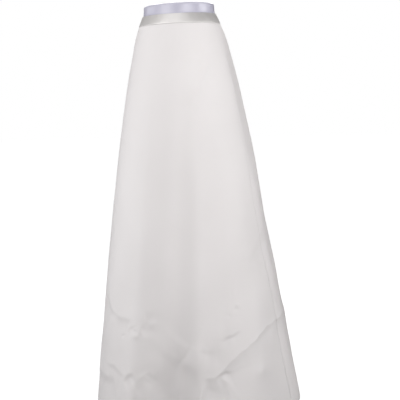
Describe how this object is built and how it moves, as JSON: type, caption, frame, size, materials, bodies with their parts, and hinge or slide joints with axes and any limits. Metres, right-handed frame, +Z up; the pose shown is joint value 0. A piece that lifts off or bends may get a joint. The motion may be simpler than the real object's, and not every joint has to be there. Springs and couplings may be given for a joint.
{
  "type": "maxi skirt on a limbless skirt form",
  "caption": "Floor-length A-line maxi skirt with a shaped waistband, filled out on a smooth limbless waist form that stands on a pole and a round base.",
  "frame": {"origin": "centre of the round base's underside, on the floor under the pole", "axes": "+Z up along the pole; -Y is the front of the skirt and +X the wearer's left side"},
  "size_m": [0.5615, 0.6773, 1.165],
  "materials": {
    "skirt_cloth": "heavy smooth ivory duchess satin with a fine weave and a soft sheen",
    "band_cloth": "ivory satin, a little glossier than the skirt, with a clear soft highlight",
    "form_skin": "smooth pale lilac-white painted shell with a soft shine",
    "stand_metal": "plain brushed steel"
  },
  "bodies": {
    "root": {"skirt_front": "skirt_cloth", "skirt_back_left": "skirt_cloth", "skirt_back_right": "skirt_cloth", "waistband": "band_cloth", "waist_button": "band_cloth", "form": "form_skin", "pole": "stand_metal", "base": "stand_metal"}
  },
  "joints": []
}
